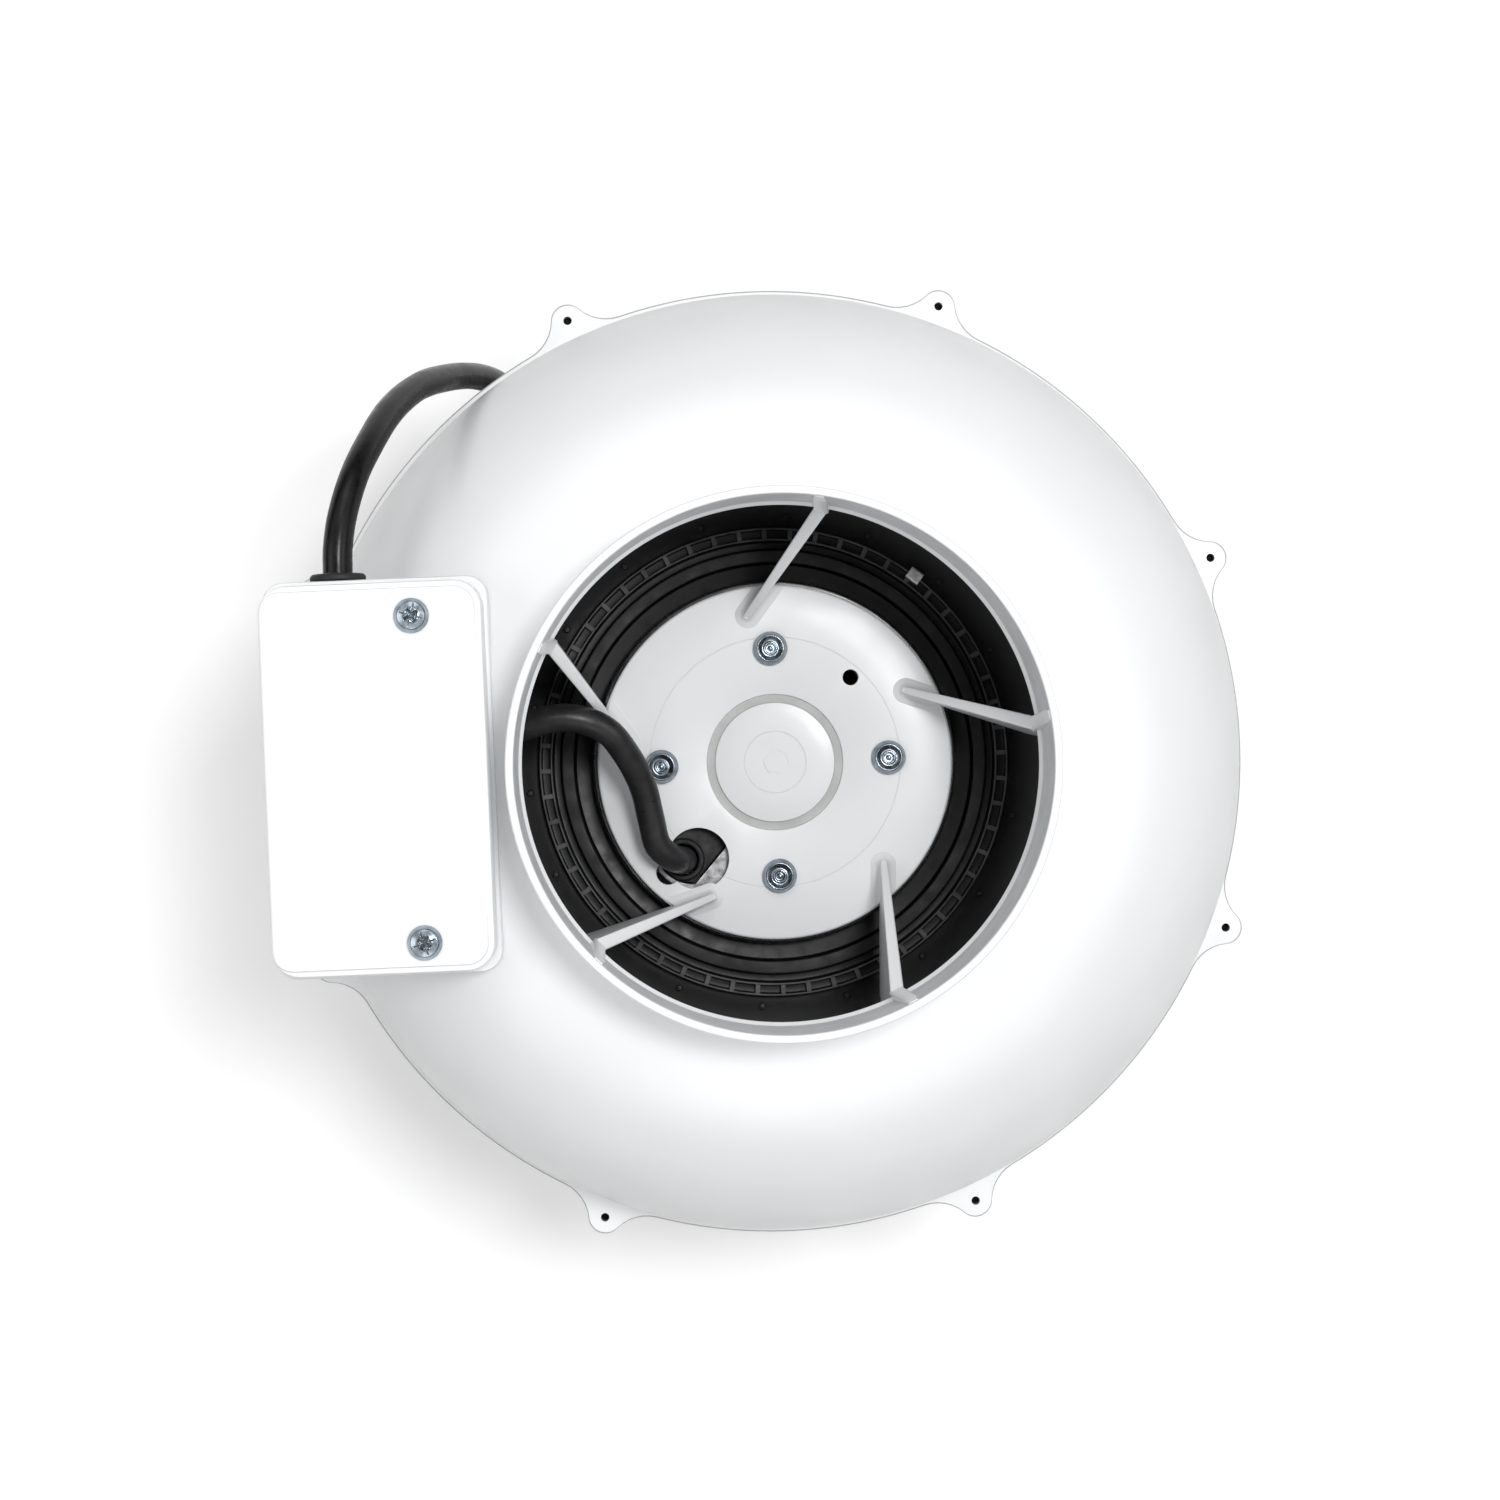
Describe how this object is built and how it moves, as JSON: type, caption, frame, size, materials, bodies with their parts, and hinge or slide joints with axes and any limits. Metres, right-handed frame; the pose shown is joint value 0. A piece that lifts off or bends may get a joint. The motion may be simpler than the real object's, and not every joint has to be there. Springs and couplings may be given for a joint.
{
  "type": "inline duct fan",
  "caption": "Mixed-flow duct fan: domed two-part casing with a round spigot at each end, external-rotor motor and impeller inside, terminal box on its side and a wired power lead.",
  "frame": {"origin": "on the duct axis in the plane of the inlet spigot's rim, on which the fan stands", "axes": "+Z along the duct axis towards the outlet; the terminal box is on the -X side and the power lead leaves it towards +Y"},
  "size_m": [0.244, 0.244, 0.21],
  "materials": {
    "white_plastic": "injection moulded, satin gloss",
    "black_plastic": "moulded, satin",
    "black_cable": "PVC sheath, satin",
    "black_rubber": "moulded rubber",
    "tie_strap": "woven hook and loop strap",
    "black_paint": "gloss black stoved paint",
    "cast_aluminium": "die cast",
    "zinc_steel": "bright zinc plate",
    "bearing_steel": "ground",
    "lamination": "stacked electrical sheet",
    "copper": "enamelled copper wire",
    "capacitor_case": "moulded case",
    "grey_plastic": "moulded polyamide",
    "brass": "nickel-plated brass"
  },
  "bodies": {
    "root": {"outlet_casing": "white_plastic", "inlet_casing": "white_plastic", "box_base": "white_plastic", "box_lid": "white_plastic", "inlet_nozzle": "black_plastic", "power_plug": "black_plastic", "motor_cable": "black_cable", "power_lead": "black_cable", "lead_hank": "black_cable", "lead_tail": "black_cable", "box_seal": "black_rubber", "casing_grommet": "black_rubber", "cable_boot": "black_rubber", "cable_gland": "black_rubber", "cord_tie": "tie_strap", "motor_flange": "cast_aluminium", "flange_screw_1": "zinc_steel", "flange_screw_2": "zinc_steel", "flange_screw_3": "zinc_steel", "flange_screw_4": "zinc_steel", "flange_screw_5": "zinc_steel", "flange_screw_6": "zinc_steel", "flange_screw_7": "zinc_steel", "flange_screw_8": "zinc_steel", "motor_screw_1": "zinc_steel", "motor_screw_2": "zinc_steel", "motor_screw_3": "zinc_steel", "motor_screw_4": "zinc_steel", "lid_screw_1": "zinc_steel", "lid_screw_2": "zinc_steel", "box_screw_1": "zinc_steel", "box_screw_2": "zinc_steel", "bearing_upper_outer": "bearing_steel", "bearing_lower_outer": "bearing_steel", "preload_washer": "bearing_steel", "stator_core": "lamination", "winding_upper": "copper", "winding_lower": "copper", "capacitor": "capacitor_case", "terminal_block": "grey_plastic", "plug_pin_1": "brass", "plug_pin_2": "brass"},
    "rotor": {"rotor_bell": "black_paint", "rotor_core": "lamination", "shaft": "bearing_steel", "shaft_spacer": "bearing_steel", "circlip": "bearing_steel", "bearing_upper_inner": "bearing_steel", "bearing_lower_inner": "bearing_steel", "impeller": "black_plastic", "impeller_shroud": "black_plastic", "balance_clip": "bearing_steel"},
    "upper_balls": {"bearing_upper_balls": "bearing_steel"},
    "lower_balls": {"bearing_lower_balls": "bearing_steel"}
  },
  "joints": [
    {"name": "rotor_spin", "type": "hinge", "parent": "root", "child": "rotor", "pos_m": [0, 0, 0.12], "axis": [0, 0, 1], "continuous": true},
    {"name": "upper_ball_orbit", "type": "hinge", "parent": "root", "child": "upper_balls", "pos_m": [0, 0, 0.1175], "axis": [0, 0, 1], "continuous": true},
    {"name": "lower_ball_orbit", "type": "hinge", "parent": "root", "child": "lower_balls", "pos_m": [0, 0, 0.0795], "axis": [0, 0, 1], "continuous": true}
  ],
  "couplings": [
    {"joint": "upper_ball_orbit", "follows": "rotor_spin", "ratio": 0.368},
    {"joint": "lower_ball_orbit", "follows": "rotor_spin", "ratio": 0.368}
  ]
}
